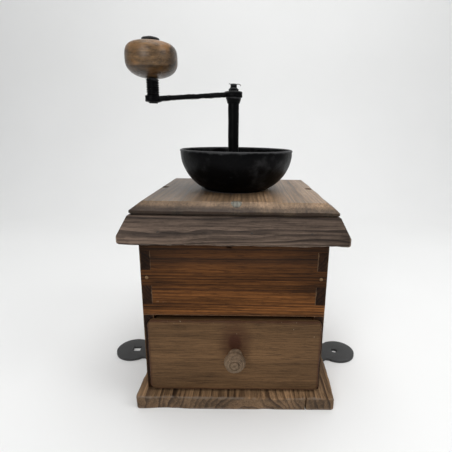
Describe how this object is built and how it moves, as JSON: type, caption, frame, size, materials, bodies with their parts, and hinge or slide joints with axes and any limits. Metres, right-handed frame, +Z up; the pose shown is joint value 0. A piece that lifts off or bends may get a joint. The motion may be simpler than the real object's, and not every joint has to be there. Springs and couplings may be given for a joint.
{
  "type": "hand crank coffee grinder",
  "caption": "Wooden box coffee mill with a lipped drawer, an open iron hopper bowl, adjustable conical burrs and a forged hand crank with a turned wooden handle.",
  "frame": {"origin": "the point below the middle of the case on the base plate's underside, on the surface that the mill stands on", "axes": "+Z up, the drawer opens towards -Y, +X to the right as seen from the drawer side"},
  "size_m": [0.2858, 0.2003, 0.347],
  "materials": {
    "dark_base_wood": "worn, waxed, dark",
    "case_wood": "waxed, open grain",
    "panel_wood": "waxed, open grain",
    "cornice_wood": "weathered",
    "lid_wood": "weathered, worn pale",
    "drawer_wood": "worn wax",
    "drawer_box_wood": "bare",
    "drawer_knob_wood": "worn, turned",
    "handle_wood": "satin varnish, turned",
    "black_iron": "blackened, hand forged",
    "grey_iron": "flat dark grey",
    "burr_iron": "as cast",
    "nail_iron": "dark, slightly rusted",
    "screw_steel": "dull",
    "bright_steel": "bright"
  },
  "bodies": {
    "case": {"base_plate": "dark_base_wood", "mount_strap": "grey_iron", "strap_screws": "screw_steel", "side_left": "case_wood", "side_right": "case_wood", "front_panel": "panel_wood", "back_panel": "case_wood", "case_nails": "nail_iron", "base_screws": "screw_steel", "cornice_front": "cornice_wood", "cornice_back": "cornice_wood", "cornice_left": "cornice_wood", "cornice_right": "cornice_wood", "cornice_nails": "nail_iron", "lid_board": "lid_wood", "lid_screws": "screw_steel", "lid_plugs": "lid_wood", "hopper_bowl": "black_iron", "hopper_screws": "screw_steel", "spindle_bridge": "black_iron", "bridge_rivets": "black_iron", "outer_burr": "burr_iron", "burr_screws": "screw_steel", "stirrup": "burr_iron", "lock_nut": "screw_steel"},
    "lifter": {"pivot_ball": "bright_steel"},
    "adjuster": {"adjust_screw": "screw_steel"},
    "crank": {"spindle": "black_iron", "inner_burr": "burr_iron", "burr_key": "screw_steel", "crank_collar": "black_iron", "crank_arm": "black_iron", "crank_nut": "black_iron", "split_pin": "screw_steel", "handle_pin": "black_iron", "handle_sleeve": "black_iron", "handle_washer": "black_iron"},
    "knob": {"handle_knob": "handle_wood"},
    "drawer": {"drawer_front": "drawer_wood", "drawer_left": "drawer_box_wood", "drawer_right": "drawer_box_wood", "drawer_back": "drawer_box_wood", "drawer_bottom": "drawer_box_wood", "drawer_nails": "nail_iron", "drawer_knob": "drawer_knob_wood", "drawer_knob_screw": "screw_steel"}
  },
  "joints": [
    {"name": "adjust_lift", "type": "slide", "parent": "case", "child": "lifter", "axis": [0, 0, 1], "range_m": [-0.00063, 0.00063]},
    {"name": "crank_turn", "type": "hinge", "parent": "lifter", "child": "crank", "pos_m": [-0.0041, 0, 0.29], "axis": [0, 0, 1], "continuous": true},
    {"name": "knob_spin", "type": "hinge", "parent": "crank", "child": "knob", "pos_m": [-0.0854, 0, 0.3256], "axis": [0, 0, 1], "continuous": true},
    {"name": "adjust_turn", "type": "hinge", "parent": "lifter", "child": "adjuster", "pos_m": [-0.0041, 0, 0.11], "axis": [0, 0, 1], "range_deg": [-180, 180]},
    {"name": "drawer_slide", "type": "slide", "parent": "case", "child": "drawer", "axis": [0, -1, 0], "range_m": [0, 0.13]}
  ],
  "couplings": [
    {"joint": "adjust_turn", "follows": "adjust_lift", "rad_per_m": 5026.5}
  ]
}
